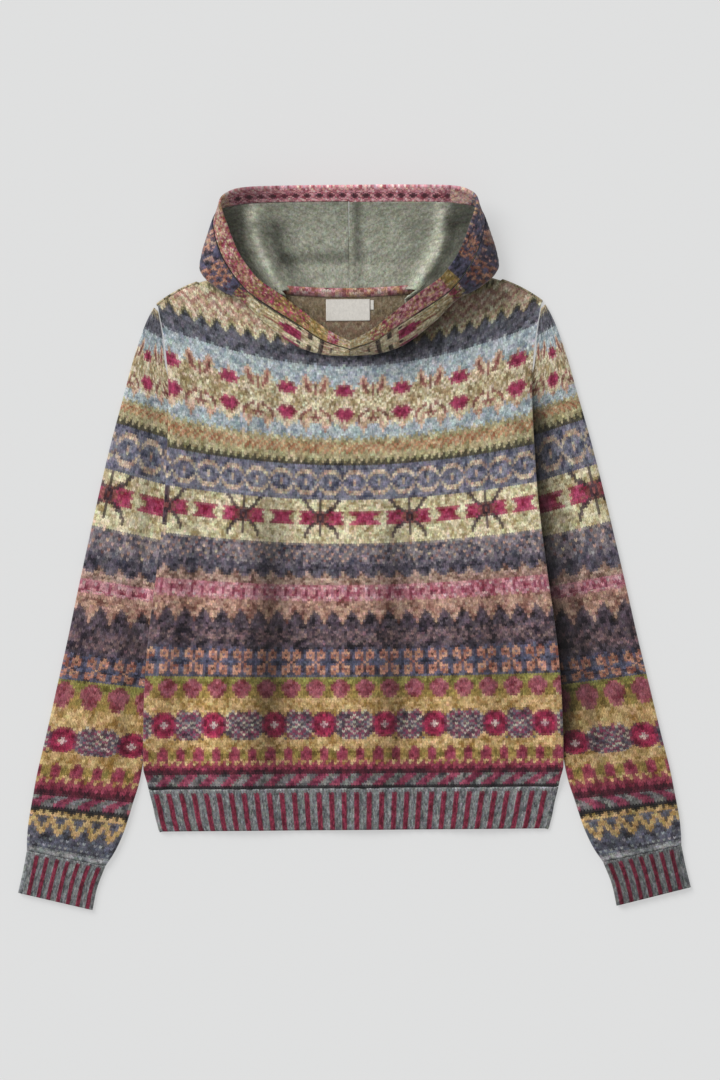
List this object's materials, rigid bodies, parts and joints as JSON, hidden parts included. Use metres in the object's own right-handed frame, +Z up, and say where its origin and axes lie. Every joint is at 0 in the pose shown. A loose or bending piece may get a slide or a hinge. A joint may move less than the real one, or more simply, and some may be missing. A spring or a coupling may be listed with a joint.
{
  "type": "hooded knitted sweater, laid flat",
  "caption": "Knitted pullover hoodie with Fair Isle bands, a lined hood with a doubled edge band, and ribbed cuffs and hem, laid flat front side up.",
  "frame": {"origin": "middle of the outline seen from above, on the surface the garment lies on", "axes": "+X to the viewer's right when the front faces them, +Y from the hem to the hood, +Z up from the surface through the front"},
  "size_m": [0.8346, 0.896, 0.0492],
  "materials": {
    "patterned_knit": "fuzzy Fair Isle knit in heather yarns",
    "hood_knit": "fuzzy Fair Isle knit, mostly navy",
    "rose_knit": "doubled knit in rose heather",
    "striped_rib": "two-colour ribbing in berry and grey",
    "lining_knit": "fine matt jersey in grey-green heather",
    "woven_label": "smooth woven tape"
  },
  "bodies": {
    "root": {"front": "patterned_knit", "back": "patterned_knit", "left_sleeve": "patterned_knit", "right_sleeve": "patterned_knit", "left_cuff": "striped_rib", "right_cuff": "striped_rib", "hem_band": "striped_rib", "hood_left": "hood_knit", "hood_right": "hood_knit", "hood_lining_left": "lining_knit", "hood_lining_right": "lining_knit", "hood_edge_band": "rose_knit", "neck_seam_strip": "rose_knit", "neck_label": "woven_label", "size_loop": "woven_label"}
  },
  "joints": []
}
